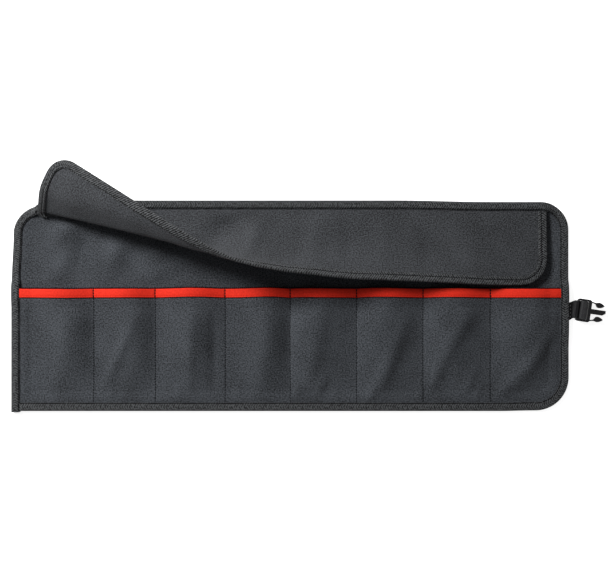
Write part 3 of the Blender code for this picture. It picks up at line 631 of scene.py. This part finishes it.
class Nodes:
    """A material's node tree with short calls for the nodes that the finishes use."""

    def __init__(self, name, colour, roughness):
        self.material = bpy.data.materials.new(name)
        self.material.use_nodes = True
        self.material.diffuse_color = (*colour, 1.0)
        self.tree = self.material.node_tree
        self.shader = self.tree.nodes["Principled BSDF"]
        self.set("Base Color", (*colour, 1.0))
        self.set("Roughness", roughness)
        self.set("Metallic", 0.0)

    def set(self, name, value):
        self.shader.inputs[name].default_value = value

    def add(self, kind, **values):
        node = self.tree.nodes.new(kind)
        for key, value in values.items():
            setattr(node, key, value)
        return node

    def join(self, output, socket):
        if isinstance(output, (int, float)):
            socket.default_value = output
        else:
            self.tree.links.new(output, socket)

    def math(self, operation, a, b=0.0):
        node = self.add("ShaderNodeMath", operation=operation)
        self.join(a, node.inputs[0])
        self.join(b, node.inputs[1])
        return node.outputs[0]

    def total(self, *terms):
        """Sum of values, each given with its weight."""
        result = None
        for value, weight in terms:
            part = value if weight == 1 else self.math("MULTIPLY", value, weight)
            result = self.math("ADD", result, part) if result else part
        return result

    def lay(self):
        """Place in the cloth: as a vector, and its metres along and across."""
        node = self.add("ShaderNodeAttribute", attribute_name="lay")
        parts = self.add("ShaderNodeSeparateXYZ")
        self.tree.links.new(node.outputs["Vector"], parts.inputs[0])
        return node.outputs["Vector"], parts.outputs["X"], parts.outputs["Y"]

    def place(self):
        """Place in the object's own axes."""
        return self.add("ShaderNodeTexCoord").outputs["Object"]

    def noise(self, vector, scale, stretch=(1, 1, 1), detail=2.0, roughness=0.5):
        mapping = self.add("ShaderNodeMapping")
        mapping.inputs["Scale"].default_value = stretch
        self.tree.links.new(vector, mapping.inputs["Vector"])
        node = self.add("ShaderNodeTexNoise")
        for key, value in (("Scale", scale), ("Detail", detail), ("Roughness", roughness)):
            node.inputs[key].default_value = value
        self.tree.links.new(mapping.outputs[0], node.inputs["Vector"])
        return node.outputs["Fac"]

    def wave(self, phase, pitch):
        """A sine from -1 to 1 that repeats every pitch metres of the phase."""
        return self.math("SINE", self.math("MULTIPLY", phase, 2 * math.pi / pitch))

    def ramp(self, value, low, high, from_low=0.0, from_high=1.0):
        """A colour from low to high as the value runs over its range."""
        node = self.add("ShaderNodeMapRange")
        node.inputs["From Min"].default_value = from_low
        node.inputs["From Max"].default_value = from_high
        self.join(value, node.inputs["Value"])
        mix = self.add("ShaderNodeMix", data_type="RGBA")
        self.tree.links.new(node.outputs[0], mix.inputs["Factor"])
        mix.inputs["A"].default_value = (*low, 1.0)
        mix.inputs["B"].default_value = (*high, 1.0)
        return mix.outputs["Result"]

    def colour(self, output):
        self.tree.links.new(output, self.shader.inputs["Base Color"])

    def bump(self, height, distance, strength=1.0):
        node = self.add("ShaderNodeBump")
        node.inputs["Distance"].default_value = distance
        node.inputs["Strength"].default_value = strength
        self.tree.links.new(height, node.inputs["Height"])
        self.tree.links.new(node.outputs[0], self.shader.inputs["Normal"])


def woven_cloth(name, colour, spread, yarn=0.0012):
    """Plain weave of flecked yarn: the yarns show as short light and dark streaks both ways."""
    made = Nodes(name, colour, 0.85)
    vector, along, across = made.lay()
    warp = made.noise(vector, 1.0, (1500, 420, 1), 1.5)
    weft = made.noise(vector, 1.0, (420, 1500, 1), 1.5)
    weave = made.math("MULTIPLY", made.wave(along, yarn), made.wave(across, yarn))
    over = made.math("GREATER_THAN", weave, 0.0)
    pick = made.total((warp, over), (weft, made.math("SUBTRACT", 1.0, over)))
    fleck = made.noise(vector, 650.0, roughness=0.6)
    drift = made.noise(vector, 26.0)
    value = made.total((pick, 0.26), (fleck, 0.62), (drift, 0.12))
    made.colour(made.ramp(value, shade(colour, 1 - spread), shade(colour, 1 + spread), 0.38, 0.62))
    made.bump(made.total((made.math("ABSOLUTE", weave), 0.7), (fleck, 1)), 0.0004, 0.7)
    made.set("Sheen Weight", 0.03)
    made.set("Sheen Roughness", 0.5)
    made.set("Specular IOR Level", 0.25)
    return made.material


def twill_tape(name, colour, spread, pitch, middle):
    """Herringbone tape: slanted ribs that meet along the middle of the side that shows."""
    made = Nodes(name, colour, 0.80)
    vector, along, across = made.lay()
    off = made.math("ABSOLUTE", made.math("SUBTRACT", across, middle))
    rib = made.wave(made.total((along, 1), (off, 0.7)), pitch)
    fleck = made.noise(vector, 380.0, roughness=0.6)
    value = made.total((rib, 0.16), (fleck, 1))
    made.colour(made.ramp(value, shade(colour, 1 - spread), shade(colour, 1 + spread * 1.2), 0.36, 0.64))
    made.bump(made.total((rib, 0.5), (fleck, 0.4)), 0.0006, 0.9)
    made.set("Specular IOR Level", 0.3)
    return made.material


def mouth_tape_finish():
    """Bright red tape with fine ribs across it."""
    made = Nodes("red_tape_fine", (0.74, 0.024, 0.010), 0.70)
    vector, along, _ = made.lay()
    rib = made.wave(along, 0.0007)
    fleck = made.noise(vector, 500.0)
    value = made.total((rib, 0.08), (fleck, 1))
    made.colour(made.ramp(value, (0.60, 0.020, 0.008), (0.77, 0.031, 0.014), 0.3, 0.7))
    made.bump(made.total((rib, 0.5), (fleck, 1)), 0.00015, 0.5)
    made.set("Specular IOR Level", 0.12)
    return made.material


def thread_finish(name, colour):
    """Twisted sewing thread."""
    made = Nodes(name, colour, 0.80)
    _, along, across = made.lay()
    twist = made.wave(made.total((along, 1), (across, 1)), 0.0007)
    made.colour(made.ramp(twist, shade(colour, 0.7), shade(colour, 1.3), -1.0, 1.0))
    made.bump(twist, 0.0001, 0.5)
    made.set("Specular IOR Level", 0.1)
    return made.material


def webbing_finish():
    """Black webbing with chevron ribs along its length."""
    made = Nodes("webbing_fine", (0.012, 0.012, 0.013), 0.75)
    vector, along, across = made.lay()
    off = made.math("PINGPONG", across, 0.0035)
    rib = made.wave(made.total((along, 1), (off, 1)), 0.0017)
    fleck = made.noise(vector, 900.0)
    value = made.total((rib, 0.25), (fleck, 1))
    made.colour(made.ramp(value, (0.003, 0.003, 0.004), (0.040, 0.040, 0.043), 0.25, 0.75))
    made.bump(made.total((rib, 0.5), (fleck, 0.4)), 0.0005, 0.9)
    return made.material


def plastic_finish():
    """Black moulded plastic with a fine grain and faint handling marks."""
    made = Nodes("buckle_plastic_fine", (0.010, 0.010, 0.011), 0.38)
    vector = made.place()
    grain = made.noise(vector, 2600.0)
    marks = made.noise(vector, 240.0, detail=3.0, roughness=0.6)
    made.colour(made.ramp(marks, (0.003, 0.003, 0.004), (0.009, 0.009, 0.010), 0.3, 0.7))
    rough = made.add("ShaderNodeMapRange")
    rough.inputs["To Min"].default_value = 0.26
    rough.inputs["To Max"].default_value = 0.40
    made.tree.links.new(marks, rough.inputs["Value"])
    made.tree.links.new(rough.outputs[0], made.shader.inputs["Roughness"])
    made.bump(grain, 0.00004, 0.6)
    return made.material


def panel_rows(x):
    """Y of the panel's points: even rows, drawn together where the round corners narrow it."""
    rows = np.linspace(BOTTOM + EDGE_IN, TOP - EDGE_IN, PANEL_ROWS)
    core = PANEL_DEPTH / 2 - 1.3 * max(CORNER_TOP_LEFT, CORNER_TOP_RIGHT, CORNER_BOTTOM_RIGHT)
    top = (outline_y(x, EDGE_IN, 1) - core) / (rows[-1] - core)
    bottom = (outline_y(x, EDGE_IN, -1) + core) / (rows[0] + core)
    over = np.maximum(rows[None, :] - core, 0) * top[:, None]
    below = np.minimum(rows[None, :] + core, 0) * bottom[:, None]
    return np.clip(rows, -core, core)[None, :] + over + below


def make_panel(material):
    columns = list(np.arange(LEFT + EDGE_IN, RIGHT - EDGE_IN, PANEL_COLUMN))
    columns += end_columns(EDGE_IN) + [RIGHT - EDGE_IN]
    columns = thin_out(columns, 0.0007)
    y = panel_rows(columns)
    x = np.repeat(columns[:, None], y.shape[1], axis=1)
    under = panel_under(x, y)
    relief = panel_relief(x, y)
    upper = np.stack([x, y, under + PANEL_THICK + relief], axis=-1)
    lower = np.stack([x, y, np.maximum(under + 0.8 * relief, 0)], axis=-1)
    return thin_sheet("panel_cloth", upper, lower, place_in_cloth(x, y), material)


def strip_columns():
    """X of the pocket strip's columns, closer near the sewn lines and the round corner."""
    edges = pocket_edges()
    share = np.linspace(0, 1, POCKET_COLUMNS, endpoint=False)
    share = 0.5 * share + 0.5 * (1 - np.cos(math.pi * share)) / 2
    columns = [left + (right - left) * s for left, right in zip(edges, edges[1:]) for s in share]
    columns += [LEFT + EDGE_IN + 0.0014 * k for k in range(7)]
    columns += [column for column in end_columns(EDGE_IN) if column > STRIP_RIGHT]
    columns += [STRIP_RIGHT, RIGHT - EDGE_IN]
    return thin_out(columns, 0.0004)


def mouth_columns():
    """The strip's columns that the mouth tape covers, clear of its two ends."""
    columns = strip_columns()
    return columns[(columns > STRIP_LEFT + GAP) & (columns < STRIP_RIGHT - GAP)]


def make_pockets(material):
    columns = strip_columns()
    bottom = outline_y(columns, EDGE_IN, -1)[:, None]
    mouth = mouth_line(columns)[:, None] - (TRIM_TAPE + GAP)
    y = mouth + (bottom - mouth) * np.linspace(0, 1, POCKET_ROWS)[None, :]
    x = np.repeat(columns[:, None], POCKET_ROWS, axis=1)
    under = strip_under(x, y)
    upper = np.stack([x, y, under + STRIP_THICK], axis=-1)
    lower = np.stack([x, y, under], axis=-1)
    return thin_sheet("pocket_cloth", upper, lower, place_in_cloth(x, y), material)


def tape_profile(width, row_in, fold, crown, groove):
    """Half of a folded tape's outer side, from its inner edge to the middle of its fold.

    Each point has its distance in from the fold, its height over the cloth as a share of the tape, and the
    share of the whole thickness by which it has turned down round the fold.
    """
    points = [(width, 0.25, 1.0), (width - 0.0001, 0.75, 1.0)]
    for reach in np.linspace(width - 0.0004, fold, 13):
        share = (reach - fold) / (width - fold)
        height = 1.0 + crown * math.sin(math.pi * share)
        height -= groove * math.exp(-((width - row_in - reach) / GROOVE_WIDTH) ** 2)
        points.append((reach, height, 1.0))
    for angle in np.radians(np.linspace(75, 0, 6)):
        points.append((fold * (1 - math.cos(angle)), 1.0, math.sin(angle)))
    return points


def tape_ring(width, tape, row_in, shape):
    """A folded tape's whole section: the profile's points, each with its leg, 1 above and -1 below."""
    half = tape_profile(width, row_in, **shape)
    ring = [(*point, 1) for point in half]
    ring += [(*point, -1) for point in reversed(half[:-1])]
    ring += [(width, 0.0, 1.0, -1), (tape, 0.0, 1.0, -1), (tape, 0.0, 1.0, 1), (width, 0.0, 1.0, 1)]
    return ring


def outline_path():
    """Points round the panel with the inward direction, from the square corner up the left side and round."""
    path = []

    def run(start, end, inward):
        count = int(math.dist(start, end) / 0.0018)
        for share in np.linspace(0, 1, count + 1)[:-1]:
            x = start[0] + (end[0] - start[0]) * share
            y = start[1] + (end[1] - start[1]) * share
            path.append((x, y, *inward))

    def turn(cx, cy, radius, first):
        for angle in np.radians(np.linspace(first, first - 90, 25))[:-1]:
            cos = math.cos(angle)
            sin = math.sin(angle)
            path.append((cx + radius * cos, cy + radius * sin, -cos, -sin))

    tl, tr, br = CORNER_TOP_LEFT, CORNER_TOP_RIGHT, CORNER_BOTTOM_RIGHT
    run((LEFT, BOTTOM), (LEFT, TOP - tl), (1, 0))
    turn(LEFT + tl, TOP - tl, tl, 180)
    run((LEFT + tl, TOP), (RIGHT - tr, TOP), (0, -1))
    turn(RIGHT - tr, TOP - tr, tr, 90)
    run((RIGHT, TOP - tr), (RIGHT, BOTTOM + br), (-1, 0))
    turn(RIGHT - br, BOTTOM + br, br, 0)
    run((RIGHT - br, BOTTOM), (LEFT + BINDING_WIDTH + GAP, BOTTOM), (0, 1))
    path.append((LEFT + BINDING_WIDTH + GAP, BOTTOM, 0, 1))
    return np.array(path)


def inside_path(path, reach):
    """The two coordinates of a path's points, moved inward by the reach."""
    return path[:, 0] + path[:, 2] * reach, path[:, 1] + path[:, 3] * reach


def binding_height(px, py, leg):
    """Height of the cloth that the edge binding lies on, over or under the panel."""
    if leg > 0:
        return panel_top(px, py) + stack_over_panel(px, py) + 0.5 * GAP
    return panel_under(px, py) - 0.5 * GAP


def make_tape(name, ring, along, place, material):
    """A folded tape: each point of its section put in place along the whole edge, and joined."""
    sections = np.stack([place(*point) for point in ring], axis=1)
    lay = np.stack([place_in_cloth(along, leg * reach) for reach, _, _, leg in ring], axis=1)
    return tube(name, sections, lay, material)


def make_edge_tape(material):
    path = outline_path()

    def place(reach, height, turn, leg):
        px, py = inside_path(path, reach)
        over = binding_height(px, py, 1) + TAPE * height
        under = binding_height(px, py, -1) - TAPE * height
        pz = (over + under) / 2 + (over - under) / 2 * turn * leg
        py[0] -= TAPE_OVERHANG
        return np.stack([px, py, pz], axis=1)

    ring = tape_ring(BINDING_WIDTH, TAPE, ROW_IN, EDGE_TAPE_SHAPE)
    return make_tape("edge_tape", ring, path_length(path[:, :2]), place, material)


def make_mouth_tape(material):
    x = np.concatenate([[STRIP_LEFT + GAP], mouth_columns(), [STRIP_RIGHT - GAP]])
    pinch = sum(np.exp(-((x - edge) / GROOVE_WIDTH) ** 2) for edge in pocket_edges()[1:-1])

    def place(reach, height, turn, leg):
        y = mouth_line(x) - reach
        middle = strip_under(x, y) + STRIP_THICK / 2
        thick = STRIP_THICK / 2 + 0.5 * GAP + TRIM_TAPE * height * (1 - 0.5 * pinch * (leg > 0))
        return np.stack([x, y, middle + thick * turn * leg], axis=1)

    ring = tape_ring(TRIM_WIDTH, TRIM_TAPE, TRIM_ROW_IN, TRIM_TAPE_SHAPE)
    return make_tape("mouth_tape", ring, x, place, material)


def make_flap(material):
    inset = FLAP_TAPE + GAP
    angles = np.linspace(0, math.pi / 2, 15)
    left = FLAP_CORNER - (FLAP_CORNER - inset) * np.cos(angles)
    right = FLAP_CORNER_RIGHT - (FLAP_CORNER_RIGHT - inset) * np.cos(angles)
    middle = np.linspace(FLAP_CORNER, FLAP_LENGTH - FLAP_CORNER_RIGHT, FLAP_COLUMNS + 1)[1:-1]
    columns = np.concatenate([left, middle, (FLAP_LENGTH - right)[::-1]])
    reach = flap_reach(columns, inset)[:, None] * np.linspace(0, 1, FLAP_ROWS)[None, :]
    v = np.concatenate([np.full((len(columns), 1), -FLAP_SEAM), reach], axis=1)
    u = np.repeat(columns[:, None], v.shape[1], axis=1)
    point, normal = flap_surface(u, v)
    upper = (point + normal * FLAP_THICK / 2).reshape(*v.shape, 3)
    lower = (point - normal * FLAP_THICK / 2).reshape(*v.shape, 3)
    return thin_sheet("flap_cloth_sheet", upper, lower, place_in_cloth(u, v), material)


def flap_path():
    """Points round the flap's three free edges with the inward direction, in the flat cloth."""
    ends = np.array([FLAP_X, FLAP_X + FLAP_LENGTH])
    rise = (FLAP_THICK / 2 + FLAP_EASE + FLAP_TAPE) * np.sin(np.radians([LIFT_LEFT, LIFT_RIGHT]))
    start, end = HINGE_Y - outline_y(ends, BINDING_WIDTH, 1) + 2 * GAP + rise
    path = [(0.0, v, 1.0, 0.0) for v in np.linspace(start, FLAP_DEPTH - FLAP_CORNER, 34)]

    def turn(edge, radius, way, first, last):
        for angle in np.linspace(first, last, 21)[1:]:
            sin = math.sin(angle)
            cos = math.cos(angle)
            u = edge + way * radius * (1 - cos)
            path.append((u, FLAP_DEPTH - radius + radius * sin, way * cos, -sin))

    turn(0.0, FLAP_CORNER, 1, 0, math.pi / 2)
    for u in np.linspace(FLAP_CORNER, FLAP_LENGTH - FLAP_CORNER_RIGHT, 281)[1:]:
        path.append((u, FLAP_DEPTH, 0.0, -1.0))
    turn(FLAP_LENGTH, FLAP_CORNER_RIGHT, -1, math.pi / 2, 0)
    path += [(FLAP_LENGTH, v, -1.0, 0.0) for v in np.linspace(FLAP_DEPTH - FLAP_CORNER_RIGHT, end, 34)[1:]]
    return np.array(path)


def make_flap_tape(material):
    path = flap_path()

    def place(reach, height, turn, leg):
        point, normal = flap_surface(*inside_path(path, reach))
        thick = FLAP_THICK / 2 + GAP * 0.5 + FLAP_TAPE * height
        return point + normal * thick * turn * leg

    ring = tape_ring(FLAP_TAPE_WIDTH, FLAP_TAPE, FLAP_ROW_IN, FLAP_TAPE_SHAPE)
    return make_tape("flap_tape", ring, path_length(path[:, :2]), place, material)


def swing(x, y):
    """Place a point of the strap, which swings round and aside from the panel's edge on."""
    share = ease(x, RIGHT, STRAP_FREE)
    angle = -math.radians(BUCKLE_TURN) * share
    dx = x - RIGHT
    dy = y - STRAP_Y
    new_x = RIGHT + dx * np.cos(angle) - dy * np.sin(angle)
    new_y = STRAP_Y + dx * np.sin(angle) + dy * np.cos(angle) + BUCKLE_SHIFT * share
    return new_x, new_y


def soften(route, rounds):
    """Cut the corners of a line again and again, with its ends kept."""
    for _ in range(rounds):
        cut = [route[0]]
        for a, b in zip(route, route[1:]):
            cut += [0.75 * a + 0.25 * b, 0.25 * a + 0.75 * b]
        route = np.array(cut + [route[-1]])
    return route


def strap_route():
    """Middle line of the webbing in X and Z: under the panel, round the centre bar and back."""
    half = STRAP_THICK / 2
    start = RIGHT + STRAP_FREE
    bar_under = 2 * (STRAP_THICK + GAP) + GAP
    bar_over = bar_under + BUCKLE_THICK
    slot_back = start + REAR_BAR + SLOT_BACK
    up = slot_back - GAP - half
    down = slot_back + CENTRE_BAR + GAP + half
    low = bar_under - GAP - half
    high = bar_over + GAP + half
    bend = STRAP_THICK * 0.7
    tight = 0.3 * bend
    corners = [
        (RIGHT - STRAP_TAIL, half), (RIGHT + GAP, half), (start - bend, low), (up - bend, low),
        (up - tight, low + tight), (up, low + bend), (up, high - bend),
        (up + tight, high - tight), (up + bend, high), (down - bend, high),
        (down - tight, high - tight), (down, high - bend), (down, half + bend),
        (down - tight, half + tight), (down - bend, half), (start, half),
    ]
    return soften(np.array(corners), 2)


def strap_ring(half_width):
    """The webbing's section: distance from its middle, and side from 1 over to -1 under, with round edges."""
    flat = np.linspace(-half_width + STRAP_ROUND, half_width - STRAP_ROUND, 11)
    brow = half_width - 0.0001
    ring = [(y, 1.0) for y in flat] + [(brow, 0.6), (half_width, 0.0), (brow, -0.6)]
    ring += [(y, -1.0) for y in flat[::-1]] + [(-brow, -0.6), (-half_width, 0.0), (-brow, 0.6)]
    return ring


def make_strap(material):
    route = strap_route()
    ahead = np.gradient(route, axis=0)
    ahead /= np.linalg.norm(ahead, axis=1)[:, None]
    out = np.stack([-ahead[:, 1], ahead[:, 0]], axis=1)
    run = path_length(route)
    half_width = STRAP_WIDTH / 2 + STRAP_EXTRA
    ring = strap_ring(half_width)
    sections = np.zeros((len(route), len(ring), 3))
    lay = np.zeros_like(sections)
    for k, (y, side) in enumerate(ring):
        px, pz = (route + out * STRAP_THICK / 2 * side).T
        snug = SLOT_SNUG * max(y, 0) / half_width * ease(px, RIGHT, STRAP_FREE)
        sections[:, k] = np.stack([*swing(px, STRAP_Y + y + snug), pz], axis=1)
        lay[:, k] = place_in_cloth(run, y)
    return tube("strap_webbing", sections, lay, material)


def row_of(x, y, z, facing=(0.0, 0.0, 1.0)):
    """A row of stitches: its points, and the one direction that all of it faces."""
    return np.stack([x, y, z], axis=1), np.tile(facing, (len(z), 1))


def edge_row(reach, leg):
    """Stitches in the edge binding, on its upper (leg 1) or lower side."""
    px, py = inside_path(outline_path(), reach)
    sunk = ROW_HEIGHT["edge"] if leg > 0 else ROW_HEIGHT["edge_under"]
    return row_of(px, py, binding_height(px, py, leg) + leg * TAPE * sunk, (0.0, 0.0, float(leg)))


def flap_row(reach, leg):
    """Stitches in the flap's tape, on its outward (leg 1) or inward side."""
    point, normal = flap_surface(*inside_path(flap_path(), reach))
    height = FLAP_THICK / 2 + GAP * 0.5 + FLAP_TAPE * ROW_HEIGHT["flap"]
    return point + normal * height * leg, normal * leg


def divider_row(x):
    """Stitches down the sewn line between two pockets, below the mouth tape."""
    y = np.linspace(MOUTH_Y - TRIM_WIDTH, STRIP_BOTTOM + 0.0004, 80)
    x = np.full_like(y, x)
    return row_of(x, y, strip_top(x, y))


def mouth_cross_row(x):
    """The divider's stitches where they cross the mouth tape."""
    y = np.linspace(float(mouth_line(np.array(x))) - 0.0006, MOUTH_Y - TRIM_WIDTH, 12)
    x = np.full_like(y, x)
    return row_of(x, y, strip_top(x, y) + 0.5 * GAP + TRIM_TAPE * ROW_HEIGHT["cross"])


def mouth_row(off, height, facing=(0.0, 0.0, 1.0)):
    """Stitches along the pockets' mouth, off its edge in Y and at a height over the strip."""
    x = mouth_columns()
    y = mouth_line(x) + off
    return row_of(x, y, strip_top(x, y) + height, facing)


def strap_row(x, leg):
    """Stitches across the webbing, on its upper (leg 1) or lower side."""
    route = strap_route()
    rising = route[:np.argmax(route[:, 0] > RIGHT + STRAP_FREE)]
    middle = float(np.interp(x, rising[:, 0], rising[:, 1]))
    y = np.linspace(STRAP_Y - 0.42 * STRAP_WIDTH, STRAP_Y + 0.42 * STRAP_WIDTH, 24)
    sx, sy = swing(np.full_like(y, x), y)
    return row_of(sx, sy, np.full_like(y, middle + leg * STRAP_THICK / 2), (0.0, 0.0, float(leg)))


def dress_buckle(buckle, material):
    """Give the frame's buckle its finish and round its sharp edges."""
    buckle.data.materials.clear()
    buckle.data.materials.append(material)
    rounded = buckle.modifiers.new("rounded", "BEVEL")
    rounded.width = BUCKLE_ROUND
    rounded.segments = 4
    rounded.limit_method = "ANGLE"
    rounded.angle_limit = math.radians(30)


def make_floor():
    bm = bmesh.new()
    bmesh.ops.create_grid(bm, x_segments=1, y_segments=1, size=FLOOR_HALF)
    mesh = bpy.data.meshes.new("floor")
    bm.to_mesh(mesh)
    bm.free()
    floor = add_object("floor", mesh)
    floor.location = (0, 0, -FLOOR_DROP)
    pale = Nodes("floor_pale", (0.92, 0.92, 0.92), 0.9)
    pale.set("Emission Color", WHITE)
    pale.set("Emission Strength", FLOOR_GLOW)
    mesh.materials.append(pale.material)


def make_light():
    """A soft light that faces the origin, and an even glow all round."""
    world = bpy.data.worlds.new("studio")
    world.use_nodes = True
    back = world.node_tree.nodes["Background"]
    back.inputs["Color"].default_value = WHITE
    back.inputs["Strength"].default_value = ROOM_GLOW
    bpy.context.scene.world = world

    light = bpy.data.lights.new("softbox", "AREA")
    light.shape = "SQUARE"
    light.size = LIGHT_SIZE
    light.energy = LIGHT_POWER
    softbox = add_object("softbox", light)
    softbox.location = LIGHT_PLACE
    x, y, z = LIGHT_PLACE
    softbox.rotation_euler = (0, math.acos(z / np.linalg.norm(LIGHT_PLACE)), math.atan2(y, x))


def make_camera():
    """A camera that looks straight down."""
    camera = bpy.data.cameras.new("camera")
    camera.sensor_width = 36.0
    camera.lens = CAMERA_LENS
    camera.clip_start = 0.05
    camera.clip_end = 50.0
    eye = add_object("camera", camera)
    eye.location = CAMERA_PLACE
    bpy.context.scene.camera = eye
    bpy.context.scene.view_settings.view_transform = "Standard"


make_floor()
make_light()
make_camera()

cloth = woven_cloth("pouch_cloth_fine", (0.045, 0.0495, 0.0565), spread=0.92)
flap_finish = woven_cloth("flap_cloth_fine", (0.040, 0.0425, 0.047), spread=0.95)
twill = twill_tape("binding_tape_fine", (0.040, 0.042, 0.044), spread=0.97, pitch=0.0028, middle=0.0052)
red = mouth_tape_finish()
thread = thread_finish("thread_black", (0.004, 0.004, 0.005))
red_thread = thread_finish("thread_red", (0.45, 0.012, 0.010))
grey_thread = thread_finish("thread_grey", (0.40, 0.40, 0.41))
webbing = webbing_finish()
plastic = plastic_finish()

panel = make_panel(cloth)
pockets = make_pockets(cloth)
mouth_tape = make_mouth_tape(red)
edge_tape = make_edge_tape(twill)
flap = make_flap(flap_finish)
flap_tape = make_flap_tape(twill)
strap = make_strap(webbing)

edge_rows = [edge_row(BINDING_WIDTH - ROW_IN, 1), edge_row(BINDING_WIDTH - ROW_IN, -1)]
edge_stitches = stitch_rows("edge_stitches", edge_rows, thread)
second_row = [edge_row(BINDING_WIDTH - SECOND_ROW_IN, 1)]
second_stitches = stitch_rows("second_stitches", second_row, thread, gap=0.0014, thread=0.00024)
flap_rows = [flap_row(FLAP_TAPE_WIDTH - FLAP_ROW_IN, 1), flap_row(FLAP_TAPE_WIDTH - FLAP_ROW_UNDER, -1)]
flap_stitches = stitch_rows("flap_stitches", flap_rows, thread)
dividers = pocket_edges()[1:-1]
divider_stitches = stitch_rows("divider_stitches", [divider_row(x) for x in dividers], thread)
cross_rows = [mouth_cross_row(x) for x in dividers]
cross_stitches = stitch_rows("cross_stitches", cross_rows, thread, gap=0.0003, thread=0.00082)
in_trim = mouth_row(TRIM_ROW_IN - TRIM_WIDTH, 0.5 * GAP + TRIM_TAPE * ROW_HEIGHT["mouth"])
mouth_stitches = stitch_rows("mouth_stitches", [in_trim], red_thread, gap=0.0014, thread=0.00026)
# Black overcast stitches along the mouth tape's top fold, thick and nearly touching: real stitches, and also a
# painted shadow line along the fold's top edge
on_fold = mouth_row(0.0005, 0.5 * GAP + TRIM_TAPE * ROW_HEIGHT["fold"], (0.0, 0.7, 0.7))
overcast_and_shadow_line = stitch_rows("overcast_and_shadow_line", [on_fold], thread, pitch=0.0024, gap=0.0003, thread=0.00085)
below_trim = mouth_row(-TRIM_WIDTH - 0.0003, 0.0001)
low_stitches = stitch_rows("low_stitches", [below_trim], thread, pitch=0.0024, gap=0.0003)
web_rows = [strap_row(RIGHT + 0.0024, 1), strap_row(RIGHT + 0.0024, -1)]
strap_stitches = stitch_rows("strap_stitches", web_rows, grey_thread, pitch=0.0042, gap=0.0022, thread=0.0005)

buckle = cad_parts["buckle"]
dress_buckle(buckle, plastic)

for piece, node, slot in (
    (panel, "back_panel", "pouch_cloth"),
    (pockets, "pocket_panel", "pouch_cloth"),
    (mouth_tape, "pocket_trim", "red_tape"),
    (edge_tape, "edge_binding", "binding_tape"),
    (flap, "flap", "flap_cloth"),
    (flap_tape, "flap_binding", "binding_tape"),
    (strap, "strap", "webbing"),
):
    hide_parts(node)

bpy.context.view_layer.update()
